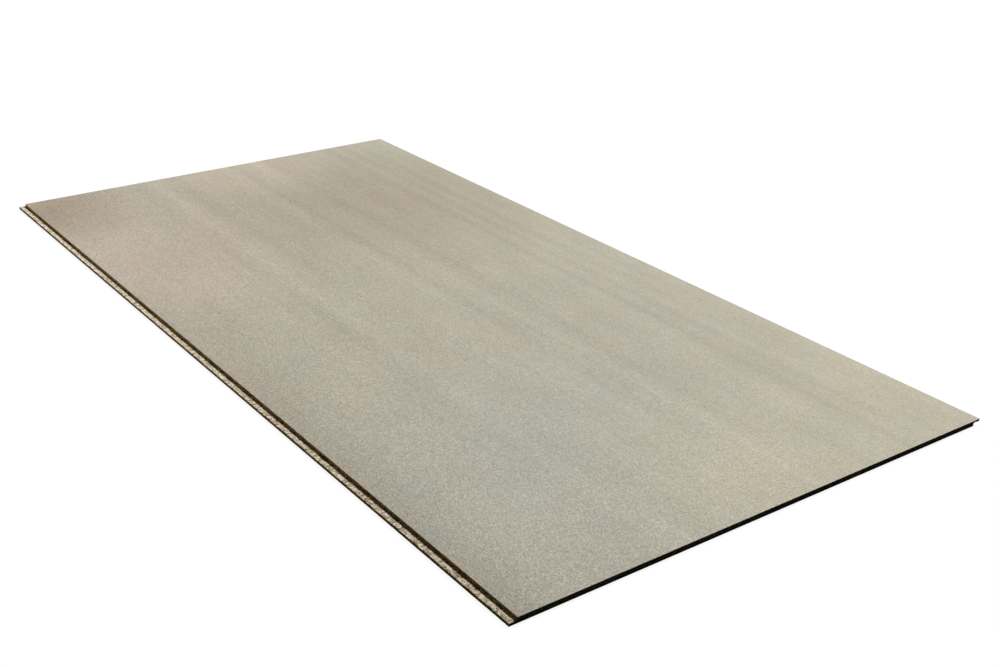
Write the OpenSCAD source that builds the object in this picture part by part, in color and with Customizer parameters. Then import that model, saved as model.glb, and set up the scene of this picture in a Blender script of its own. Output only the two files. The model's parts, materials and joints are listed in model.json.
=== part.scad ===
// Tongue and groove chipboard sheet.
//
// One sheet of pressed wood particle board with both long edges machined, so that sheets laid
// side by side lap over each other and stay level. One long edge carries a low tongue, flush
// with the underside. The other carries a thin upper lip, flush with the face, over an open
// rebate that takes the next sheet's tongue. The two short ends are sawn square.
//
// Frame: X along the sheet's length, +Y towards the tongue, +Z up from the underside.
// The origin is in the middle of the underside, halfway between the tongue's tip and the lip's tip.

/* [Sheet] */
// Length of the sheet, along its machined edges
sheet_length = 2400; // [300:1:4880]
// Width of the face, which is also the width that one laid sheet covers
face_width = 1200; // [150:1:2440]
// Thickness of the board
board_thickness = 12; // [9:0.5:38]

/* [Tongue] */
// How far the tongue stands out past the shoulder
tongue_reach = 18; // [6:0.5:40]
// Thickness of the tongue, measured up from the underside
tongue_thickness = 6.5; // [4:0.1:9]

/* [Fit] */
// Gap between the tongue's tip and the rebate's wall once the faces meet
tip_gap = 1; // [0:0.1:3]
// Gap between the tongue's top and the lip that laps over it
lap_gap = 0.2; // [0:0.05:1]

/* [Arrises] */
// Chamfer that takes the sharpness off the sheet's outer edges
arris_ease = 0.3; // [0.1:0.05:1]
// Lead-in chamfer on the top of the tongue's tip and the bottom of the lip's tip
lead_in = 1; // [0.2:0.1:2]

/* [Hidden] */

// Colour of the sanded face
board_color = [0.71, 0.69, 0.63];

// The cuts run past the stock by this much, so that no face of a cut lies on a face of the stock
overrun = 5;

// The rebate takes the tongue plus its gaps, and the lip is what is left above it
rebate_depth = tongue_reach + tip_gap;
rebate_height = tongue_thickness + lap_gap;

// Places across the sheet, from the lip's side to the tongue's
overall_width = face_width + tongue_reach;
lip_tip_y = -overall_width / 2;
rebate_wall_y = lip_tip_y + rebate_depth;
shoulder_y = lip_tip_y + face_width;
tongue_tip_y = shoulder_y + tongue_reach;

// A chamfer is cut by a square stood on its corner, centred on the edge that it takes off
function chamfer_square(leg) = leg * sqrt(2);

// Section of the sawn stock, before the long edges are machined
module stock_section() {
    translate([lip_tip_y, 0])
        square([overall_width, board_thickness]);
}

// What the cutter takes off over the tongue, back to the shoulder and down to the tongue's top
module tongue_cut_section() {
    translate([shoulder_y, tongue_thickness])
        square([tongue_reach + overrun, board_thickness]);
}

// What the cutter takes out under the lip, in to the rebate's wall and up to the lip's underside
module rebate_cut_section() {
    translate([lip_tip_y - overrun, -overrun])
        square([rebate_depth + overrun, rebate_height + overrun]);
}

// Cuts a chamfer off each of the section's corners listed
module ease_corners(corners, leg) {
    for (corner = corners)
        translate(corner)
            rotate(45)
                square(chamfer_square(leg), center = true);
}

// The machined section, in the plane across the sheet
module sheet_section() {
    difference() {
        stock_section();
        tongue_cut_section();
        rebate_cut_section();
        ease_corners(
            [
                [lip_tip_y, board_thickness],
                [shoulder_y, board_thickness],
                [tongue_tip_y, 0],
                [rebate_wall_y, 0]
            ],
            arris_ease
        );
        ease_corners(
            [
                [lip_tip_y, rebate_height],
                [tongue_tip_y, tongue_thickness]
            ],
            lead_in
        );
    }
}

// Takes the sharpness off the edges that the saw leaves at the top and bottom of both ends
module ease_sawn_ends() {
    for (end_x = [-sheet_length / 2, sheet_length / 2])
        for (edge_z = [0, board_thickness])
            translate([end_x, 0, edge_z])
                rotate([0, 45, 0])
                    cube(
                        [
                            chamfer_square(arris_ease),
                            overall_width + overrun,
                            chamfer_square(arris_ease)
                        ],
                        center = true
                    );
}

// The whole sheet: its section run along the length, with eased ends
module chipboard_sheet() {
    color(board_color)
        difference() {
            rotate([90, 0, 90])
                linear_extrude(height = sheet_length, center = true)
                    sheet_section();
            ease_sawn_ends();
        }
}

chipboard_sheet();
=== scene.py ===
# %% [markdown]
# # A tongue and groove chipboard sheet
# Chipboard is wood broken into particles, mixed with resin and pressed flat: dust and fine
# splinters at the two faces, coarse chips in the middle. The press and the sander leave the faces
# dense and smooth. The cutter that shapes the long edges opens the middle up, so there the chips
# and the small voids between them show. This scene loads the exact sheet, copies it, cuts fine
# relief into its machined edges and gives faces and edges a finish each.

# %% Load the exact sheet
import json
import math

import bmesh
import bpy
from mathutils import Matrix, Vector

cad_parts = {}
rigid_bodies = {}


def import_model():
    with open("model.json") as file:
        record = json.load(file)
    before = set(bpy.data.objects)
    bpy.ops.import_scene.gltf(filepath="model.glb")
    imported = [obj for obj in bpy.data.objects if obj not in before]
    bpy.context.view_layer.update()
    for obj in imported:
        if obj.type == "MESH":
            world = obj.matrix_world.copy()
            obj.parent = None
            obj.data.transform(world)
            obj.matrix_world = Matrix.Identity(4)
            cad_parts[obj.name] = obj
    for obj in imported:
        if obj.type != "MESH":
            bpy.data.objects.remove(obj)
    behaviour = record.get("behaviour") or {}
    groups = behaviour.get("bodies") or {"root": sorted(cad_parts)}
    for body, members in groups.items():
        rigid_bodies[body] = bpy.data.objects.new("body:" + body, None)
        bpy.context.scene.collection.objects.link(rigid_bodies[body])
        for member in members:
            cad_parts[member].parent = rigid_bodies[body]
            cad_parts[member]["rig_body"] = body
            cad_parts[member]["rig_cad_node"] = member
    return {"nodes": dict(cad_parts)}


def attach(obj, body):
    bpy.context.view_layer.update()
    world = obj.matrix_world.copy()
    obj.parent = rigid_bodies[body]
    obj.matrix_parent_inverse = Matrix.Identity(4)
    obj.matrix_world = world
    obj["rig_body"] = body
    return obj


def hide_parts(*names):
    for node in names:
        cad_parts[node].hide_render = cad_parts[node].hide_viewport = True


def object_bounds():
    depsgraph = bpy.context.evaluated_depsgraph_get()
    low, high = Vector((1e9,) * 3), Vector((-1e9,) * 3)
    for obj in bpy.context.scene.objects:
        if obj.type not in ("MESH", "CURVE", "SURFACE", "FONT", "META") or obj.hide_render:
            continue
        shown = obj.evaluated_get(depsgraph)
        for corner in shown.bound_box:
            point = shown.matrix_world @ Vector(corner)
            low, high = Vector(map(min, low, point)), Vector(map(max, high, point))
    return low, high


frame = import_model()
cad_low, cad_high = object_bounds()
cad_sheet = frame["nodes"]["chipboard_sheet"]
underside_z, face_z = cad_low.z, cad_high.z
near_x, far_x = cad_low.x, cad_high.x
lip_tip_y, tongue_tip_y = cad_low.y, cad_high.y
print("exact sheet, in metres:", tuple(round(side, 4) for side in cad_high - cad_low))

# %% [markdown]
# ## The camera
# It stands off the near corner on the tongue's side, a little higher than a table, looks down
# along the sheet and leans a degree to one side, as a hand-held one does. It comes first, so
# that every later step can be looked at.

# %% Place the camera
CAMERA_PLACE = Vector((-2.647, 1.697, 1.356))
CAMERA_AIM = Vector((-0.275, -0.042, 0.0))
CAMERA_LEAN = math.radians(0.95)
CAMERA_LENS_MM = 49.35

bpy.ops.object.camera_add(location=CAMERA_PLACE)
camera = bpy.context.object
camera.name = "camera"
camera.rotation_euler = (CAMERA_AIM - CAMERA_PLACE).to_track_quat("-Z", "Y").to_euler()
camera.rotation_euler.rotate_axis("Z", CAMERA_LEAN)
camera.data.lens = CAMERA_LENS_MM
bpy.context.scene.camera = camera
bpy.context.scene.view_settings.view_transform = "Standard"
print("camera is", round((CAMERA_AIM - CAMERA_PLACE).length, 2), "m from what it looks at")

# %% [markdown]
# ## The sheet as modelled stock
# The faces need no new shape, but the machined edges do: a cutter leaves pits where coarse chips
# tear out. The relief could be faked with bump alone, but then the outline would stay as sharp as
# glass. So the exact sheet is copied and the copy is worked on, which keeps every size right. The
# exact mesh arrives as loose triangles. They are merged, and flat triangles dissolve into the few
# faces that the section has.

# %% Copy the exact sheet and clean the copy
TINY = 1e-5  # metres, far less than any size of the sheet
FLAT_ENOUGH = math.radians(1)


def work_on(piece):
    """Makes one object the only selected one, and the active one."""
    bpy.ops.object.select_all(action="DESELECT")
    piece.select_set(True)
    bpy.context.view_layer.objects.active = piece


work_on(cad_sheet)
bpy.ops.object.duplicate()
sheet = bpy.context.object
sheet.name = "pressed_sheet"
sheet.parent = None
# The copy is a new piece, so the notes that call it the exact one go.
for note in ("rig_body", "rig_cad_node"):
    del sheet[note]

bpy.ops.object.mode_set(mode="EDIT")
bpy.ops.mesh.select_all(action="SELECT")
bpy.ops.mesh.remove_doubles(threshold=TINY)
bpy.ops.mesh.dissolve_limited(angle_limit=FLAT_ENOUGH)
bpy.ops.mesh.customdata_custom_splitnormals_clear()
print("the copy has", len(bmesh.from_edit_mesh(sheet.data).faces), "flat faces")

# %% [markdown]
# ## Reading the section
# With one flat face for each side of the section, a ledge or a wall can be found by the way it
# looks. No size is typed in twice, so the scene still fits if the sheet is cut to another section.

# %% Find the ledges and walls of the two machined edges
LOOKS_THAT_WAY = 0.99  # how closely a face's normal agrees with a direction, 1 at most


def places_of_faces(way):
    """How far out each face that looks one way lies along that way, the least far first."""
    shape = bmesh.from_edit_mesh(sheet.data)
    found = [f.calc_center_median() for f in shape.faces if f.normal.dot(way) > LOOKS_THAT_WAY]
    return sorted(middle.dot(way) for middle in found)


shoulder_y, _ = places_of_faces(Vector((0, 1, 0)))
rebate_wall_y = -places_of_faces(Vector((0, -1, 0)))[0]
tongue_top_z, _ = places_of_faces(Vector((0, 0, 1)))
print("the shoulder is at", round(shoulder_y, 4), "across the sheet")
print("the rebate's wall is at", round(rebate_wall_y, 4), "across the sheet")
print("the tongue's top is", round(tongue_top_z, 4), "high")

# %% [markdown]
# ## Telling the faces apart
# What happens to a face depends on the tool that made it. The sander made the two big faces, the
# saw made the ends, and the cutter made the walls and ledges of the long edges. Short tests of a
# face's normal and place say which is which, and every later step asks them.

# %% Tests for each kind of face
def is_sanded(face):
    """True for the two sanded faces."""
    middle_z = face.calc_center_median().z
    outermost = min(middle_z - underside_z, face_z - middle_z) < TINY
    return abs(face.normal.z) > LOOKS_THAT_WAY and outermost


def is_end(face):
    """True for the two sawn ends."""
    return abs(face.normal.x) > LOOKS_THAT_WAY


def is_ledge(face):
    """True for the tongue's top and the lip's underside."""
    return abs(face.normal.z) > LOOKS_THAT_WAY and not is_sanded(face)


def is_wall(face):
    """True for the upright faces that run along the sheet."""
    return abs(face.normal.y) > LOOKS_THAT_WAY


for test in (is_sanded, is_end, is_ledge, is_wall):
    print(test.__name__, "picks", sum(map(test, bmesh.from_edit_mesh(sheet.data).faces)))

# %% [markdown]
# ## A fine grid on the machined faces
# Relief needs points to move. Bisect cuts only what is selected, and hidden faces can't be, so the
# ends, ledges and walls are cut across while the sanded faces stay whole. One plane cuts all the
# faces that it meets, so faces that share an edge also share the new points on it.

# %% Cut the ends, ledges and walls across
RELIEF_STEP = 0.0016  # metres between the points that relief moves


def choose(kind, wanted):
    """Selects the faces or edges that a test picks, and nothing else."""
    bpy.ops.mesh.select_mode(type={"faces": "FACE", "edges": "EDGE"}[kind])
    bpy.ops.mesh.select_all(action="DESELECT")
    shape = bmesh.from_edit_mesh(sheet.data)
    shape.normal_update()
    for part in getattr(shape, kind):
        part.select_set(wanted(part))
    bmesh.update_edit_mesh(sheet.data)


def cut_across(wanted, axis, turns):
    """Cuts the chosen faces at each turn of the section and evenly in between."""
    choose("faces", wanted)
    bpy.ops.mesh.hide(unselected=True)
    for low, high in zip(turns, turns[1:]):
        steps = max(1, round((high - low) / RELIEF_STEP))
        for step in range(1, steps + 1):
            bpy.ops.mesh.select_all(action="SELECT")
            place = low + (high - low) * step / steps
            bpy.ops.mesh.bisect(plane_co=axis * place, plane_no=axis)
    bpy.ops.mesh.reveal(select=False)


cut_across(
    lambda face: is_end(face) or is_wall(face),
    Vector((0, 0, 1)),
    [underside_z, tongue_top_z, face_z],
)
cut_across(
    lambda face: is_end(face) or is_ledge(face),
    Vector((0, 1, 0)),
    [lip_tip_y, rebate_wall_y, shoulder_y, tongue_tip_y],
)
print("after the cuts across:", len(bmesh.from_edit_mesh(sheet.data).faces), "faces")

# %% [markdown]
# ## Squares along the sheet
# The ledges and walls are now strips as narrow as one step of the relief and as long as the sheet.
# Cutting each strip at every step would take over a thousand bisects. Subdivide cuts all the long
# edges at once instead, and doing so twice, with the square root of the number of steps each time,
# needs only a few dozen cuts per edge.

# %% Subdivide everything that runs the length of the sheet
def runs_lengthwise(edge):
    """True for an edge along X that is clearly longer than one step of the relief."""
    run = edge.verts[0].co - edge.verts[1].co
    return abs(run.x) > 1.5 * RELIEF_STEP and abs(run.y) < TINY and abs(run.z) < TINY


steps_along = (far_x - near_x) / RELIEF_STEP
pieces_in_one_go = round(math.sqrt(steps_along))
for _ in range(2):
    choose("edges", runs_lengthwise)
    bpy.ops.mesh.subdivide(number_cuts=pieces_in_one_go - 1)
print("after the cuts along:", len(bmesh.from_edit_mesh(sheet.data).faces), "faces")
bpy.ops.object.mode_set(mode="OBJECT")

# %% [markdown]
# ## Which way each point may sink
# Relief only takes wood away, so the sheet never grows past its size. A point on a machined face
# sinks straight in. A point on the border of a sanded face may only move sideways, or the smooth
# face would be dented all the way across. Each point's own direction is stored on the mesh as an
# attribute, and a second attribute marks the outer corners, where chips break away most.

# %% Store the outward direction and the outer corners
SHARP_CORNER = math.radians(20)


def way_out(point):
    """The direction that leads out of the wood at a point, or no direction if it has to stay."""
    if any(is_sanded(face) for face in point.link_faces):
        if min(point.co.x - near_x, far_x - point.co.x) < RELIEF_STEP:
            return Vector((math.copysign(1, point.co.x), 0, 0))
        return Vector((0, math.copysign(1, point.co.y), 0))
    total = Vector()
    for face in point.link_faces:
        if is_end(face) or is_wall(face) or is_ledge(face):
            total += face.normal * face.calc_area()
    return total.normalized()


def is_outer_corner(point):
    """True for a point on an edge that sticks out and turns sharply."""
    return any(e.is_convex and e.calc_face_angle(0) > SHARP_CORNER for e in point.link_edges)


work_on(sheet)
shape = bmesh.new()
shape.from_mesh(sheet.data)
outward_of = shape.verts.layers.float_vector.new("outward")
corner_of = shape.verts.layers.float.new("corner")
for point in shape.verts:
    point[outward_of] = way_out(point)
    point[corner_of] = 1.0 if is_outer_corner(point) else 0.0
shape.to_mesh(sheet.data)
print("points that may sink:", sum(point[outward_of].length > 0 for point in shape.verts))
print("points on outer corners:", sum(point[corner_of] > 0 for point in shape.verts))
shape.free()

# %% [markdown]
# ## Two finishes
# The sander reaches the two faces and rounds the arrises next to them. Every wall, ledge and end is
# left as the cutter or the saw leaves it. Each face of the mesh is marked now, while it is still
# flat and easy to tell apart, and gets its finish later.

# %% Mark what is sanded and what is machined
SANDED, MACHINED = 0, 1  # places in the sheet's list of finishes

touches_plane = [
    min(point.co.z - underside_z, face_z - point.co.z) < TINY for point in sheet.data.vertices
]
sheet.data.materials.clear()
for face in sheet.data.polygons:
    touching = sum(touches_plane[point] for point in face.vertices)
    face.material_index = SANDED if touching >= 2 else MACHINED
print("machined faces:", sum(face.material_index for face in sheet.data.polygons))

# %% [markdown]
# ## A flat map of the sheet
# Another program can't run these finishes. It shows them from an image that is laid on the sheet
# by a flat map. An automatic map gives every millimetre the same room, so the machined edges,
# which have the most to see, would get a line too thin to show it. In this one, the face, the
# underside, the two long edges unrolled and the two ends are rows that run the whole width of the
# image. It is made before the relief, so that no pit folds over on it.

# %% Give each row its room
# Each row's share of the image's height, from the bottom up.
MAP_ROWS = {
    "far end": 0.02,
    "near end": 0.02,
    "lip edge": 0.09,
    "tongue edge": 0.09,
    "underside": 0.26,
    "face": 0.49,
}
ROW_GAP = 0.004
foot_of_row = {}
next_foot = ROW_GAP
for row, height in MAP_ROWS.items():
    foot_of_row[row] = next_foot
    next_foot += height + ROW_GAP
print("the map's rows end at", round(next_foot, 3), "of the image's height")

# %% Lay each face in its row
thickness = face_z - underside_z
overall_width = tongue_tip_y - lip_tip_y
tongue_reach = tongue_tip_y - shoulder_y
rebate_depth = rebate_wall_y - lip_tip_y


def row_and_place(face, point):
    """The row that a face lies in, and how far along and up the row one of its points lies."""
    along = (point.x - near_x) / (far_x - near_x)
    aside = (point.y - lip_tip_y) / overall_width
    if face.material_index == SANDED:
        if face.center.z > 0.5 * (underside_z + face_z):
            return "face", along, aside
        return "underside", along, 1 - aside
    if is_end(face):
        up = (point.z - underside_z) / thickness
        if face.normal.x > 0:
            return "far end", aside, up
        return "near end", 1 - aside, up
    down = face_z - point.z
    if face.center.y > 0:
        return "tongue edge", along, (down + point.y - shoulder_y) / (thickness + tongue_reach)
    return "lip edge", along, 1 - (down + point.y - lip_tip_y) / (thickness + rebate_depth)


flat_map = sheet.data.uv_layers.new(name="OFBake")
for face in sheet.data.polygons:
    for loop in face.loop_indices:
        point = sheet.data.vertices[sheet.data.loops[loop].vertex_index].co
        row, along, up = row_and_place(face, point)
        across_image = ROW_GAP + along * (1 - 2 * ROW_GAP)
        flat_map.uv[loop].vector = (across_image, foot_of_row[row] + up * MAP_ROWS[row])
print("corners laid on the map:", len(flat_map.uv))

# %% [markdown]
# ## A small kit for node trees
# Geometry nodes and shader nodes share their pattern nodes, so one set of helpers can build both.
# That matters here: the same void has to be a pit in the mesh and a spot of painted shade in the
# finish.

# %% Helpers that add nodes and do arithmetic
def add_node(tree, kind, inputs, **settings):
    """Adds a node with its settings, and gives each input named or numbered a value or a link."""
    node = tree.nodes.new(kind)
    for setting, choice in settings.items():
        setattr(node, setting, choice)
    for slot, source in inputs.items():
        if isinstance(source, bpy.types.NodeSocket):
            tree.links.new(source, node.inputs[slot])
        else:
            node.inputs[slot].default_value = source
    return node


def maths(tree, operation, first, second):
    """One step of arithmetic with two numbers."""
    node = add_node(tree, "ShaderNodeMath", {0: first, 1: second}, operation=operation)
    return node.outputs[0]


def product(tree, first, *others):
    """All the numbers multiplied together."""
    for other in others:
        first = maths(tree, "MULTIPLY", first, other)
    return first


def vector_maths(tree, operation, first, second):
    """One step of arithmetic with two places, directions or colours, number by number."""
    node = add_node(tree, "ShaderNodeVectorMath", {0: first, 1: second}, operation=operation)
    return node.outputs[0]


def one_of(tree, vector, axis):
    """One of the three numbers of a place, direction or colour."""
    return add_node(tree, "ShaderNodeSeparateXYZ", {0: vector}).outputs[axis]


# %% Helpers that turn one range of values into another
def stretched(tree, value, low, high, start=0.0, end=1.0):
    """Goes evenly from the low value to the high one as the given value goes from start to end."""
    inputs = {"Value": value, "From Min": start, "From Max": end, "To Min": low, "To Max": high}
    return add_node(tree, "ShaderNodeMapRange", inputs).outputs["Result"]


def fade(tree, value, start, end):
    """0 where the value is at start, 1 where it is at end, and smooth in between."""
    inputs = {"Value": value, "From Min": start, "From Max": end}
    node = add_node(tree, "ShaderNodeMapRange", inputs, interpolation_type="SMOOTHSTEP")
    return node.outputs["Result"]


# %% [markdown]
# ## Grains, clouds and patches
# Nearly every pattern on the sheet is one of three. Grains split space into cells with a random
# colour each, as chips and splinters are. Clouds rise and fall softly, as wear does. Patches are
# clouds with firmer borders, as where one kind of dust ends and the next begins. All three take
# their size in metres, so a chip of 6 mm is written as 0.006.

# %% Helpers for the three basic patterns
def in_sizes(tree, place, size):
    """The place counted in patterns instead of metres, for a pattern of the given size."""
    return vector_maths(tree, "MULTIPLY", place, tuple(1 / side for side in size))


def grains(tree, place, size, **settings):
    """Splits space into irregular grains of the given size in metres, one output set per grain."""
    inputs = {"Vector": in_sizes(tree, place, size), "Scale": 1.0}
    return add_node(tree, "ShaderNodeTexVoronoi", inputs, **settings).outputs


def clouds(tree, place, size, detail=2.0):
    """A soft random value between 0 and 1 whose patches are about the given size in metres."""
    inputs = {"Vector": in_sizes(tree, place, size), "Scale": 1.0, "Detail": detail}
    return add_node(tree, "ShaderNodeTexNoise", inputs).outputs[0]


def patches(tree, place, size, start=0.3, end=0.7):
    """0 where the clouds stay below start, 1 where they go above end, and smooth in between."""
    return fade(tree, clouds(tree, place, size), start, end)


# %% [markdown]
# ## Voids between the chips
# Coarse chips don't pack closely, and here and there the cutter tears a whole one out. Space is
# split into grains, flatter than they are wide, as the press leaves them. A random number for each
# grain decides whether a void sits in its middle, and how wide it is. Two sizes of grain give the
# small voids between chips and the wider holes that torn chips leave.

# %% The pattern of voids, for mesh and finish alike
# Each size of void: how far apart they lie, in metres, and the radius of the widest and of the
# narrowest one, in grains. Where the radius comes out below zero there is no void.
VOIDS = [
    ((0.0052, 0.0052, 0.0026), 0.44, -0.46),
    ((0.0120, 0.0120, 0.0060), 0.24, -0.40),
]
VOID_RIM = (-0.02, 0.16)  # where a void starts and where it is at its full depth, in grains


def voids(tree, place):
    """1 in the middle of a void and 0 away from it."""
    deepest = 0.0
    for spacing, widest, narrowest in VOIDS:
        found = grains(tree, place, spacing)
        radius = stretched(tree, one_of(tree, found["Color"], "X"), narrowest, widest)
        inside = maths(tree, "SUBTRACT", radius, found["Distance"])
        deepest = maths(tree, "MAXIMUM", fade(tree, inside, *VOID_RIM), deepest)
    return deepest


print("voids lie", " and ".join(f"{1000 * spacing[0]:.1f}" for spacing, *_ in VOIDS), "mm apart")

# %% [markdown]
# ## How deep the relief goes
# The depth is made up of three things: the voids, the torn grain everywhere, and the outer
# corners, where the cutter breaks chips out. The fine particles close to the two faces are packed
# so densely that a cutter leaves them nearly smooth, so there all of it shrinks to a small share.

# %% The depth of the relief at any place
VOID_DEPTH = 0.0013
GRAIN_DEPTH, GRAIN_SIZE = 0.0007, (0.006, 0.006, 0.003)
BREAKOUT_DEPTH, BREAKOUT_SIZE = 0.0020, (0.008, 0.008, 0.005)
BREAKOUT_RIM = (0.52, 0.70)  # where in its clouds a breakout starts and where it is deepest
FINE_LAYER = 0.0018  # how deep the fine particles reach below each face
DENSE_SHARE = 0.12  # how far relief goes right at a face, against 1 in the coarse middle


def below_faces(tree, place):
    """How deep a place lies below the nearer of the two sanded faces, in metres."""
    height = one_of(tree, place, "Z")
    from_underside = maths(tree, "SUBTRACT", height, underside_z)
    from_face = maths(tree, "SUBTRACT", face_z, height)
    return maths(tree, "MINIMUM", from_underside, from_face)


def relief_depth(tree, place, corner):
    """How far a place sinks, in metres, if it is on an outer corner where corner is 1."""
    in_voids = product(tree, voids(tree, place), VOID_DEPTH)
    in_grain = product(tree, clouds(tree, place, GRAIN_SIZE), GRAIN_DEPTH)
    broken = patches(tree, place, BREAKOUT_SIZE, *BREAKOUT_RIM)
    at_corner = product(tree, broken, corner, BREAKOUT_DEPTH)
    depth = maths(tree, "ADD", maths(tree, "ADD", in_voids, in_grain), at_corner)
    loose = fade(tree, below_faces(tree, place), 0.0, FINE_LAYER)
    return product(tree, depth, stretched(tree, loose, DENSE_SHARE, 1.0))


deepest_relief = VOID_DEPTH + GRAIN_DEPTH + BREAKOUT_DEPTH
print("relief can't be deeper than", round(1000 * deepest_relief, 1), "mm")

# %% [markdown]
# ## Sinking the relief
# A geometry nodes modifier works the depth out at each point and moves the point in along its own
# direction. Then the modifier is applied, so the pits are real geometry.

# %% Build and apply the relief modifier
SMOOTH_UP_TO = math.radians(35)  # a sharper turn than this keeps its hard edge


def stored(tree, name, kind):
    """Reads an attribute that is stored on the mesh."""
    node = add_node(tree, "GeometryNodeInputNamedAttribute", {0: name}, data_type=kind)
    return node.outputs["Attribute"]


relief = bpy.data.node_groups.new("machined relief", "GeometryNodeTree")
relief.interface.new_socket("Geometry", in_out="INPUT", socket_type="NodeSocketGeometry")
relief.interface.new_socket("Geometry", in_out="OUTPUT", socket_type="NodeSocketGeometry")
place = add_node(relief, "GeometryNodeInputPosition", {}).outputs[0]
depth = relief_depth(relief, place, stored(relief, "corner", "FLOAT"))
outward = stored(relief, "outward", "FLOAT_VECTOR")
inputs = {"Vector": outward, "Scale": product(relief, depth, -1.0)}
move = add_node(relief, "ShaderNodeVectorMath", inputs, operation="SCALE").outputs[0]
came_in = add_node(relief, "NodeGroupInput", {}).outputs[0]
moved = add_node(relief, "GeometryNodeSetPosition", {"Geometry": came_in, "Offset": move})
add_node(relief, "NodeGroupOutput", {0: moved.outputs[0]})

work_on(sheet)
bpy.ops.object.modifier_add(type="NODES")
sheet.modifiers[-1].node_group = relief
bpy.ops.object.modifier_apply(modifier=sheet.modifiers[-1].name)
bpy.ops.object.shade_smooth_by_angle(angle=SMOOTH_UP_TO)
lowest, highest = (Vector(sheet.bound_box[i]) for i in (0, 6))
print("with relief, in metres:", tuple(round(side, 5) for side in highest - lowest))

# %% [markdown]
# ## Colours as a maker sees them
# A colour picker gives red, green and blue from 0 to 255 as a screen shows them. Shaders work
# with light, so each number is turned into its share of light first. A finish then starts from a
# colour, blends others into it and makes it lighter or darker from place to place.

# %% Turn screen colours into light
def shade(red, green, blue):
    """A screen colour as the linear colour that a shader takes."""
    shares = (red / 255, green / 255, blue / 255)
    return (*(s / 12.92 if s < 0.04045 else ((s + 0.055) / 1.055) ** 2.4 for s in shares), 1.0)


print("a screen's middle grey sends back", round(shade(128, 128, 128)[0], 2), "of the light")

# %% Helpers that change a colour or a level
def blend(tree, share, first, second):
    """Goes from the first colour to the second as the share goes from 0 to 1."""
    # A Mix node has a pair of inputs for each kind of value, and 6 and 7 are its two colours.
    inputs = {"Factor": share, 6: first, 7: second}
    return add_node(tree, "ShaderNodeMix", inputs, data_type="RGBA").outputs[2]


def dimmed(tree, colour, level):
    """Multiplies a colour by a level near 1."""
    inputs = {0: colour, "Scale": level}
    return add_node(tree, "ShaderNodeVectorMath", inputs, operation="SCALE").outputs[0]


def uneven(tree, place, size, amount):
    """A level around 1 that goes up and down by the amount."""
    return stretched(tree, patches(tree, place, size), 1 - amount, 1 + amount)


# %% [markdown]
# ## What every finish starts with
# Blender's own new material comes with nodes that would have to be found and changed. It is plainer
# to clear them and add just the Principled shader, the output and the place on the piece, in
# metres. Every finish here also needs a bump, which fakes relief too fine for the mesh.

# %% Helpers that start and finish a material
def new_finish(name):
    """A material with an empty node tree and its Principled shader."""
    finish = bpy.data.materials.new(name)
    finish.use_nodes = True
    tree = finish.node_tree
    tree.nodes.clear()
    shader = add_node(tree, "ShaderNodeBsdfPrincipled", {})
    add_node(tree, "ShaderNodeOutputMaterial", {"Surface": shader.outputs[0]})
    place = add_node(tree, "ShaderNodeTexCoord", {}).outputs["Object"]
    return finish, tree, shader, place


def add_bump(tree, shader, height, strength, distance):
    """Lets light fall on the surface as if it rose and sank with the height."""
    inputs = {"Height": height, "Strength": strength, "Distance": distance}
    bump = add_node(tree, "ShaderNodeBump", inputs)
    tree.links.new(bump.outputs[0], shader.inputs["Normal"])


# %% [markdown]
# ## Stains, and painted shade, on the sanded face
# Resin and moisture change the colour of pressed dust in wide, soft patches: warmer here, greyer
# there. They could come from noise, but a noise can't be told where to go. So each stain is a soft
# round spot with its own place, reach and colour, laid over the face's own colour in turn. The last
# spot is painted shade, which darkens the far corner on the tongue's side.

# %% Lay the stains
FACE_COLOUR = shade(183, 177, 160)
# Each stain: how far along the sheet from the near end and across it from the tongue's side, as
# shares of the face; how far it reaches, in metres; and the colour it leans to.
STAINS_AND_SHADE = [
    (0.15, 0.33, 0.64, shade(181, 179, 166)),
    (0.75, 0.06, 0.66, shade(195, 183, 167)),
    (0.03, 0.58, 0.50, shade(193, 187, 166)),
    (0.10, 0.97, 0.45, shade(191, 184, 162)),
    (0.78, 0.72, 0.76, shade(169, 160, 142)),
    (1.00, 0.54, 0.40, shade(193, 182, 164)),
    # Painted shade: this spot darkens the far corner on the tongue's side.
    (0.96, 0.00, 0.36, shade(173, 157, 139)),
]


def on_face(along, across):
    """The place of a spot on the face, given as shares of its length and width."""
    return (
        near_x + along * (far_x - near_x),
        shoulder_y + across * (lip_tip_y - shoulder_y),
        face_z,
    )


def stained_and_shaded(tree, place, colour):
    """Lays each soft stain, and the spot of painted shade, over the colour."""
    for along, across, reach, leaning in STAINS_AND_SHADE:
        inputs = {0: place, 1: on_face(along, across)}
        spot = add_node(tree, "ShaderNodeVectorMath", inputs, operation="DISTANCE")
        colour = blend(tree, fade(tree, spot.outputs["Value"], reach, 0.0), colour, leaning)
    return colour


print(len(STAINS_AND_SHADE), "stains")
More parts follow.
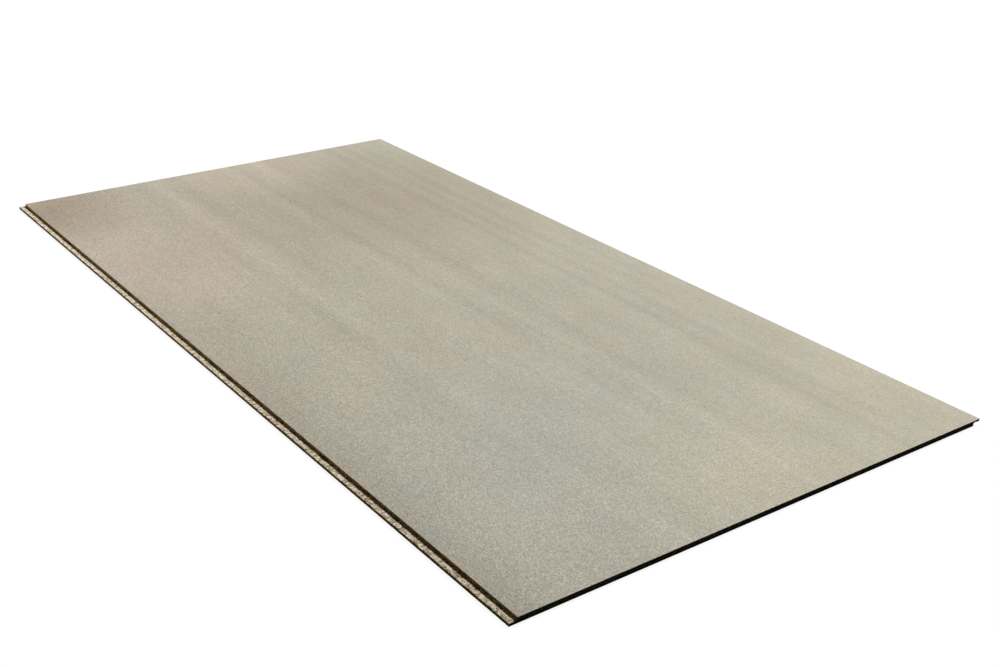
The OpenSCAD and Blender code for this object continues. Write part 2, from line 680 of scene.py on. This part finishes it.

# %% [markdown]
# ## Stripes of the sander, and painted light
# A wide-belt sander passes along the sheet, and each unevenness of its belt leaves a faint stripe,
# lighter or darker than the rest, which comes and goes. Each stripe has its own place, width and
# strength, for the same reason as the stains. The first three are painted light: two wide bands
# leave the tongue's side of the face a little darker and the lip's side a little lighter, and a
# narrow one is painted shade along the tongue's side at the near end.

# %% Lay the stripes
# Each stripe: how far across the sheet from the tongue's side, and its width in metres; how far
# along the sheet its middle is, and how far it reaches each way; and how much lighter or darker
# it leaves the face.
STRIPES_AND_PAINTED_LIGHT = [
    # The first two are painted light, darker on the tongue's side and lighter on the lip's side,
    # and the third is painted shade along the tongue's side at the near end.
    (0.000, 0.400, 0.50, 6.0, -0.035),
    (1.000, 0.300, 0.50, 6.0, 0.030),
    (0.010, 0.085, 0.00, 1.9, -0.15),
    (0.270, 0.030, 0.60, 2.0, -0.035),
    (0.315, 0.032, 0.85, 1.6, 0.085),
    (0.375, 0.036, 0.95, 1.5, -0.050),
    (0.485, 0.020, 0.20, 2.4, 0.045),
    (0.512, 0.034, 0.50, 2.4, 0.045),
    (0.550, 0.024, 0.75, 1.8, -0.060),
    (0.600, 0.020, 0.10, 1.8, 0.065),
    (0.612, 0.040, 1.00, 1.0, 0.060),
    (0.645, 0.034, 0.60, 2.4, -0.055),
    (0.775, 0.050, 0.20, 1.8, 0.030),
    (0.822, 0.024, 0.40, 2.8, -0.065),
    (0.845, 0.016, 0.90, 1.6, 0.035),
    (0.867, 0.022, 0.50, 2.8, -0.050),
    (0.911, 0.024, 0.70, 2.8, -0.055),
    (0.957, 0.024, 0.50, 2.8, -0.035),
]


def near_line(tree, value, middle, reach):
    """1 where the value is at the middle, fading to 0 at its reach on either side."""
    away = maths(tree, "ABSOLUTE", maths(tree, "SUBTRACT", value, middle), 0.0)
    return fade(tree, away, reach, 0.0)


def painted_light_and_stripes(tree, place):
    """A level of about 1, a little more in a light stripe and in painted light, and a little less
    in a dark stripe and in painted shade.
    """
    here_x, here_y = one_of(tree, place, "X"), one_of(tree, place, "Y")
    level = 1.0
    for across, width, along, reach, strength in STRIPES_AND_PAINTED_LIGHT:
        middle_x, middle_y, _ = on_face(along, across)
        aside = near_line(tree, here_y, middle_y, width)
        lengthwise = near_line(tree, here_x, middle_x, reach)
        level = maths(tree, "ADD", product(tree, aside, lengthwise, strength), level)
    return level


print(len(STRIPES_AND_PAINTED_LIGHT), "stripes")

# %% [markdown]
# ## Dust and flecks
# From close to, the face is dust with fine splinters in it, some lying along the sheet and some
# across it. Patches of dust from redder and from greener wood lie side by side, too faint to see
# singly, and without them the face would look like painted metal. The speckle is made of several
# layers, each weak, because a single strong one looks like terrazzo.

# %% Colours of the dust
# The sizes of the patches of redder and greener dust, in metres, and what red, green and blue are
# multiplied by in each kind.
TINT_SIZES = [(0.012, 0.010, 0.010), (0.040, 0.030, 0.020), (0.120, 0.090, 0.050)]
GREENER = (0.988, 1.003, 1.012, 1.0)
REDDER = (1.012, 0.997, 0.988, 1.0)


def tinted(tree, place, colour):
    """Leans the colour a little to red in some patches and to green in others."""
    for size in TINT_SIZES:
        tint = blend(tree, patches(tree, place, size), GREENER, REDDER)
        colour = vector_maths(tree, "MULTIPLY", colour, tint)
    return colour


print("tints go", round(100 * (REDDER[0] - 1), 1), "% either way in", len(TINT_SIZES), "sizes")

# %% Speckle of the dust
# Each layer of unevenness: the size of its patches in metres, and how far it goes from 1.
UNEVENNESS = [
    ((0.9, 0.035, 0.02), 0.02),
    ((0.22, 0.12, 0.1), 0.03),
    ((0.020, 0.014, 0.010), 0.03),
    ((0.0060, 0.0050, 0.004), 0.03),
]
# The dust's own speckle and the flecks in it, which are fine splinters that lie along the sheet or
# across it, each with its size in metres and how far it goes from 1.
SPECKLE = [((0.0026, 0.0024, 0.0020), 0.12), ((0.0011, 0.0011, 0.0011), 0.35)]
FLECKS = [
    ((0.0050, 0.0020, 0.0020), 0.06),
    ((0.0020, 0.0050, 0.0020), 0.06),
    ((0.0024, 0.0010, 0.0010), 0.16),
    ((0.0010, 0.0024, 0.0010), 0.16),
]
# How strong both are on the lip's side of the sheet and on the tongue's.
LIP_CONTRAST, TONGUE_CONTRAST = 0.65, 1.45


def speckled(tree, place):
    """A level around 1 that changes with every particle of dust and every splinter."""
    speckle = 1.0
    for size, amount in SPECKLE:
        speckle = product(tree, speckle, uneven(tree, place, size, amount))
    for size, amount in FLECKS:
        chance = one_of(tree, grains(tree, place, size)["Color"], "X")
        speckle = product(tree, speckle, stretched(tree, chance, 1 - amount, 1 + amount))
    here_y = one_of(tree, place, "Y")
    contrast = stretched(tree, here_y, LIP_CONTRAST, TONGUE_CONTRAST, lip_tip_y, shoulder_y)
    return maths(tree, "POWER", speckle, contrast)


print(len(UNEVENNESS), "layers of unevenness and", len(SPECKLE) + len(FLECKS), "of speckle")

# %% [markdown]
# ## The sanded finish
# Stains and tints make the colour, with a spot of painted shade in one corner, and stripes, painted
# light and shade, unevenness and speckle make its level. The face is matt, with a little less
# roughness where the belt has polished it, and the dust gives it a fine bump.

# %% Put the sanded finish together
DUST_SIZE = (0.0013, 0.0013, 0.0013)
POLISHED_PATCH = (0.020, 0.014, 0.010)
FACE_ROUGHNESS = (0.70, 0.86)  # where the belt polished the dust, and where it didn't


def sanded_finish():
    """Grey-beige pressed dust with stains, stripes, painted light and shade, and flecks."""
    finish, tree, shader, place = new_finish("sanded face")
    level = product(tree, painted_light_and_stripes(tree, place), speckled(tree, place))
    for size, amount in UNEVENNESS:
        level = product(tree, level, uneven(tree, place, size, amount))
    colour = tinted(tree, place, stained_and_shaded(tree, place, FACE_COLOUR))
    tree.links.new(dimmed(tree, colour, level), shader.inputs["Base Color"])
    roughness = stretched(tree, clouds(tree, place, POLISHED_PATCH), *FACE_ROUGHNESS)
    tree.links.new(roughness, shader.inputs["Roughness"])
    shader.inputs["Specular IOR Level"].default_value = 0.2
    height = clouds(tree, place, DUST_SIZE, detail=3.0)
    add_bump(tree, shader, height, strength=0.35, distance=0.0004)
    return finish


sheet.data.materials.append(sanded_finish())
print("the sanded finish has", len(sheet.data.materials[SANDED].node_tree.nodes), "nodes")

# %% [markdown]
# ## Chips in the machined edge
# Cut open, the board shows its chips: straw, tan and cream slivers lying flat, with a few brown
# ones of bark, and dark voids between them. Close to the faces the particles are much finer.
# Each chip is a grain of space, stretched one way or the other, with its own colour and streaks.

# %% Colours of the chips
# The colour that a chip has at each of these random values, and blends of two in between.
CHIP_COLOURS = [
    (0.00, shade(70, 42, 20)),
    (0.08, shade(113, 83, 46)),
    (0.20, shade(168, 144, 104)),
    (0.40, shade(206, 190, 156)),
    (0.70, shade(234, 226, 204)),
    (1.00, shade(251, 249, 240)),
]
# Some chips lean to pink and some to green: the colour, the second random value at which a chip
# starts to lean to it, the value at which it leans most, and how far it leans then.
LEANINGS = [
    (shade(210, 170, 142), 0.62, 0.90, 0.4),
    (shade(192, 190, 150), 0.38, 0.10, 0.5),
]
PALEST_WOOD = shade(246, 240, 224)  # however light its fibres, no chip gets lighter than this


def chip_colour(tree, chance, second_chance):
    """The colour of a chip for two random values between 0 and 1."""
    ramp = add_node(tree, "ShaderNodeValToRGB", {0: chance})
    stops = ramp.color_ramp.elements
    stops[0].position, stops[0].color = CHIP_COLOURS[0]
    stops[1].position, stops[1].color = CHIP_COLOURS[-1]
    for position, colour in CHIP_COLOURS[1:-1]:
        stops.new(position).color = colour
    colour = ramp.outputs[0]
    for leaning, start, most, share in LEANINGS:
        amount = product(tree, fade(tree, second_chance, start, most), share)
        colour = blend(tree, amount, colour, leaning)
    return colour


print(len(CHIP_COLOURS), "colours from bark to pale sapwood")

# %% [markdown]
# ## Outlines of the chips
# A grain has straight sides, and a chip hasn't. So each place is shifted by a little noise before
# the grains are looked up, which tears their outlines. Chips point every way, but a stretched
# pattern points only one way. Three patterns are laid, each turned differently, and patches of
# the edge take one of the three.

# %% Lay the chips
CHIP_SIZE = (0.0062, 0.0021, 0.0009)
FINE_CHIP_SIZE = (0.0022, 0.0018, 0.0006)
FIBRE_SIZE = (0.0060, 0.0005, 0.0004)
CHIP_TURNS = [math.radians(degrees) for degrees in (8, 68, 128)]
PATCH_OF_CHIPS = (0.009, 0.009, 0.003)  # how far one direction of chips goes on
# Each step of raggedness: the size of the wobble and how far it shifts a chip's outline.
RAGGEDNESS = [(0.0045, 0.0020), (0.0012, 0.0006)]


def ragged(tree, place):
    """Shifts each place a little, so that outlines drawn from it are torn and not straight."""
    for size, shift in RAGGEDNESS:
        inputs = {"Vector": place, "Scale": 1 / size, "Detail": 0.0}
        wobble = add_node(tree, "ShaderNodeTexNoise", inputs).outputs["Color"]
        inputs = {0: wobble, 1: (shift, shift, shift / 2), 2: place}
        shifted = add_node(tree, "ShaderNodeVectorMath", inputs, operation="MULTIPLY_ADD")
        place = shifted.outputs[0]
    return place


def chips(tree, place, size, turn):
    """Two random values for each chip, a value that is 0 at its outline, and its fibres."""
    inputs = {"Vector": place, "Angle": turn}
    turned = add_node(tree, "ShaderNodeVectorRotate", inputs, rotation_type="Z_AXIS").outputs[0]
    chances = grains(tree, turned, size)["Color"]
    outline = grains(tree, turned, size, feature="DISTANCE_TO_EDGE")["Distance"]
    fibres = clouds(tree, turned, FIBRE_SIZE)
    return one_of(tree, chances, "X"), one_of(tree, chances, "Y"), outline, fibres


def laid_chips(tree, place):
    """What chips gives, with another direction from patch to patch."""
    patch = one_of(tree, grains(tree, place, PATCH_OF_CHIPS)["Color"], "X")
    chosen = chips(tree, place, CHIP_SIZE, CHIP_TURNS[0])
    for turn, threshold in zip(CHIP_TURNS[1:], (1 / 3, 2 / 3)):
        this_way = maths(tree, "GREATER_THAN", patch, threshold)
        others = chips(tree, place, CHIP_SIZE, turn)
        chosen = [stretched(tree, this_way, old, new) for old, new in zip(chosen, others)]
    return chosen


for name, size in (("coarse", CHIP_SIZE), ("fine", FINE_CHIP_SIZE)):
    print(name, "chips in mm:", [round(1000 * side, 1) for side in size])

# %% [markdown]
# ## Light and dark in the machined edge
# Fibres streak each chip, seams between the chips are dark, the voids get painted shade, and the
# fine particles at the faces are darker than the chips of the middle. Painted light leaves the edge
# clearly darker at the near end than at the far one, as the lamp's light falls off along the sheet.

# %% Levels of the machined edge
FIBRE_LEVELS = (0.74, 1.42)  # the darkest and the lightest fibre of a chip
SEAM_WIDTH = 0.12  # in grains
SEAM_LEVELS = (0.30, 0.85)  # the darkest and the lightest seam
SHADED_PATCH = (0.014, 0.014, 0.006)
PATCH_AMOUNT = 0.20  # how far the shaded patches go from 1
# Painted shade in the voids: how much of a chip's colour a void takes away.
VOID_PAINTED_SHADE = 0.85  # how much of the light a void swallows
FINE_LEVEL = 0.84  # the level of the fine particles, against 1 in the coarse middle
# Painted light: the edge is darker at the near end and lighter at the far one.
NEAR_PAINTED_SHADE, FAR_PAINTED_LIGHT = 0.82, 1.38  # the levels at the two ends of the sheet


def seams(tree, place, outline):
    """1 on a chip, and darker in the seam that surrounds it."""
    seam_level = stretched(tree, patches(tree, place, SHADED_PATCH, 0.4, 0.6), *SEAM_LEVELS)
    return stretched(tree, fade(tree, outline, 0.0, SEAM_WIDTH), seam_level, 1.0)


def edge_level(tree, place, fine, seam, fibres):
    """How light or dark the edge is, where fine is 1 among the fine particles and else 0."""
    coarse = maths(tree, "SUBTRACT", 1.0, fine)
    # Painted shade darkens the voids, which are pits in the mesh as well.
    pit = product(tree, voids(tree, place), coarse, VOID_PAINTED_SHADE)
    here_x = one_of(tree, place, "X")
    return product(
        tree,
        seam,
        stretched(tree, fibres, *FIBRE_LEVELS),
        stretched(tree, fine, 1.0, FINE_LEVEL),
        # Painted light along the sheet, darker at the near end.
        stretched(tree, fade(tree, here_x, near_x, far_x), NEAR_PAINTED_SHADE, FAR_PAINTED_LIGHT),
        uneven(tree, place, SHADED_PATCH, PATCH_AMOUNT),
        maths(tree, "SUBTRACT", 1.0, pit),
    )


print("the edge's level goes from", NEAR_PAINTED_SHADE, "at the near end to", FAR_PAINTED_LIGHT, "at the far end")

# %% [markdown]
# ## Painted shade on the walls
# The walls on the tongue's side lie in shade. Their colour, and that of the lip's walls with it,
# is made browner and darker than the ledges' as painted shade, most of all at the near end. The
# direction that was stored for the relief tells walls from ledges, so it is read here again.

# %% Paint shade on the walls
# Painted shade: what red, green and blue are multiplied by on a wall, at the near end and from the
# middle on.
NEAR_WALL_PAINTED_SHADE = (0.65, 0.62, 0.53, 1.0)
WALL_PAINTED_SHADE = (0.94, 0.88, 0.76, 1.0)
NO_TINT = (1.0, 1.0, 1.0, 1.0)


def painted_wall_shade(tree, place, colour):
    """Paints shade on the colour where the stored outward direction points across the sheet."""
    outward = add_node(tree, "ShaderNodeAttribute", {}, attribute_name="outward").outputs["Vector"]
    on_wall = maths(tree, "ABSOLUTE", one_of(tree, outward, "Y"), 0.0)
    along = fade(tree, one_of(tree, place, "X"), near_x, 0.0)
    tint = blend(tree, on_wall, NO_TINT, blend(tree, along, NEAR_WALL_PAINTED_SHADE, WALL_PAINTED_SHADE))
    return vector_maths(tree, "MULTIPLY", colour, tint)


print("a wall keeps", round(100 * WALL_PAINTED_SHADE[2]), "% of its blue")

# %% [markdown]
# ## The machined finish
# The coarse chips and the fine particles are both worked out everywhere, and the depth below the
# faces says which of them counts. Machined chips have no sheen at all. The bump follows chips,
# seams and fibres, and the voids need none, because they are pits in the mesh already.

# %% Put the machined finish together
# Where the last fine particles are and where the first coarse chips are, against the fine layer's
# depth, and how high a chip stands if it is the darkest or the lightest.
LAYER_EDGE = (1.15, 0.85)
CHIP_HEIGHTS = (0.6, 1.0)


def machined_finish():
    """Coarse pale chips with painted shade in their voids, and fine ones close to the faces."""
    finish, tree, shader, place = new_finish("machined edge")
    torn = ragged(tree, place)
    layer_depths = (FINE_LAYER * edge for edge in LAYER_EDGE)
    fine = fade(tree, below_faces(tree, place), *layer_depths)
    both_sizes = zip(laid_chips(tree, torn), chips(tree, torn, FINE_CHIP_SIZE, 0.0))
    chance, second_chance, outline, fibres = (
        stretched(tree, fine, coarse, small) for coarse, small in both_sizes
    )
    seam = seams(tree, place, outline)
    # The level holds painted shade in the voids and painted light along the sheet.
    level = edge_level(tree, place, fine, seam, fibres)
    colour = dimmed(tree, chip_colour(tree, chance, second_chance), level)
    # The walls get painted shade, and no chip gets lighter than the palest wood.
    colour = vector_maths(tree, "MINIMUM", painted_wall_shade(tree, place, colour), PALEST_WOOD[:3])
    tree.links.new(colour, shader.inputs["Base Color"])
    shader.inputs["Roughness"].default_value = 0.9
    shader.inputs["Specular IOR Level"].default_value = 0.0
    height = product(tree, seam, stretched(tree, chance, *CHIP_HEIGHTS), fibres)
    add_bump(tree, shader, height, strength=0.6, distance=0.0006)
    return finish


sheet.data.materials.append(machined_finish())
print("the machined finish has", len(sheet.data.materials[MACHINED].node_tree.nodes), "nodes")

# %% [markdown]
# ## Shading and belonging
# The two finishes are in the list in the order that the faces were marked in, so each face has its
# own already. The two big faces are shaded flat: each is one plane with thousands of points on its
# border, and the torn border's slopes would show as streaks all across it. Then the sheet is told
# which body it moves with, and the exact piece that it replaces is hidden.

# %% Shade the faces, attach the sheet and hide the exact piece it replaces
for face in sheet.data.polygons:
    face.use_smooth = not all(touches_plane[point] for point in face.vertices)
print("faces shaded flat:", sum(not face.use_smooth for face in sheet.data.polygons))

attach(sheet, "root")
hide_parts("chipboard_sheet")

# %% [markdown]
# ## The floor
# The sheet lies on a pale floor. The camera sees the floor white, with the sheet's shadow on it.
# Light that bounces sees it dark, as if black cloth lay around the sheet, which keeps the edges
# that face away from the lamps deep and quiet, as they are in a studio.

# %% Lay the floor
FLOOR_SIDE = 60.0
FLOOR_DROP = 0.0005  # how far the floor lies below the sheet, so that the two never mix
BACKDROP_LIGHT = 0.93  # how white the floor and the world look, 1 being white
SHADOW_SHARE = 0.10  # how much of the lamps' light the floor adds, and loses in a shadow
CLOTH_SHARE = 0.02  # how much light the floor sends back to the sheet


def is_looked_at(tree):
    """1 for what the camera sees, straight or in gloss or glass, and 0 for light that bounces."""
    path = add_node(tree, "ShaderNodeLightPath", {}).outputs
    looks = maths(tree, "MAXIMUM", path["Is Camera Ray"], path["Is Glossy Ray"])
    return maths(tree, "MAXIMUM", looks, path["Is Transmission Ray"])


def floor_finish():
    """White with a shadow to the camera, and dark to light that bounces."""
    finish, tree, shader, _ = new_finish("pale floor")
    shader.inputs["Base Color"].default_value = (SHADOW_SHARE, SHADOW_SHARE, SHADOW_SHARE, 1.0)
    shader.inputs["Roughness"].default_value = 1.0
    shader.inputs["Specular IOR Level"].default_value = 0.0
    glow = add_node(tree, "ShaderNodeEmission", {"Strength": BACKDROP_LIGHT})
    white = add_node(tree, "ShaderNodeAddShader", {0: shader.outputs[0], 1: glow.outputs[0]})
    cloth = (CLOTH_SHARE, CLOTH_SHARE, CLOTH_SHARE, 1.0)
    dark = add_node(tree, "ShaderNodeBsdfDiffuse", {"Color": cloth})
    sides = {0: is_looked_at(tree), 1: dark.outputs[0], 2: white.outputs[0]}
    both = add_node(tree, "ShaderNodeMixShader", sides)
    output = next(node for node in tree.nodes if node.type == "OUTPUT_MATERIAL")
    tree.links.new(both.outputs[0], output.inputs["Surface"])
    return finish


bpy.ops.mesh.primitive_plane_add(size=FLOOR_SIDE, location=(0, 0, underside_z - FLOOR_DROP))
floor = bpy.context.object
floor.name = "floor"
floor.data.materials.append(floor_finish())
print("the floor is", FLOOR_SIDE, "m wide and lies", FLOOR_DROP * 1000, "mm below the sheet")

# %% [markdown]
# ## The lamps
# One big soft lamp stands high behind the lip's side, so that the face is evenly lit and the
# tongue's ledge bright, with the shoulder's shadow on it. Its power is chosen so that a colour
# renders about as it is written. A weak lamp overhead softens the shadow, and a weak warm one,
# low in front of the tongue, shows the chips in the walls, which the big lamp doesn't reach.

# %% Hang the lamps
def hang_lamp(name, place, side, watts):
    """A square soft lamp that shines from its place on the middle of the sheet."""
    bpy.ops.object.light_add(type="AREA", location=place)
    lamp = bpy.context.object
    lamp.name = name
    lamp.data.size = side
    lamp.data.energy = watts
    lamp.rotation_euler = (-Vector(place)).to_track_quat("-Z", "Y").to_euler()
    return lamp


hang_lamp("key lamp", (5.0, -14.6, 13.4), 3.3, 5560)
hang_lamp("top lamp", (0.5, -0.5, 6.0), 2.5, 6)
low_lamp = hang_lamp("low lamp", (-0.2, 4.2, 0.9), 1.5, 12)
low_lamp.data.color = (1.0, 0.68, 0.26)

# %% [markdown]
# ## The world
# Past the floor's end the camera sees the world, which is as white as the floor, so that no
# horizon shows. As a source of light it is nearly off: the lamps do that work.

# %% Set the world
WORLD_LIGHT = 0.01

world = bpy.data.worlds.new("studio")
bpy.context.scene.world = world
world.use_nodes = True
tree = world.node_tree
tree.nodes.clear()
strength = stretched(tree, is_looked_at(tree), WORLD_LIGHT, BACKDROP_LIGHT)
sky = add_node(tree, "ShaderNodeBackground", {"Color": (1, 1, 1, 1), "Strength": strength})
add_node(tree, "ShaderNodeOutputWorld", {"Surface": sky.outputs[0]})
print("the world looks", BACKDROP_LIGHT, "white and gives", WORLD_LIGHT, "of light")
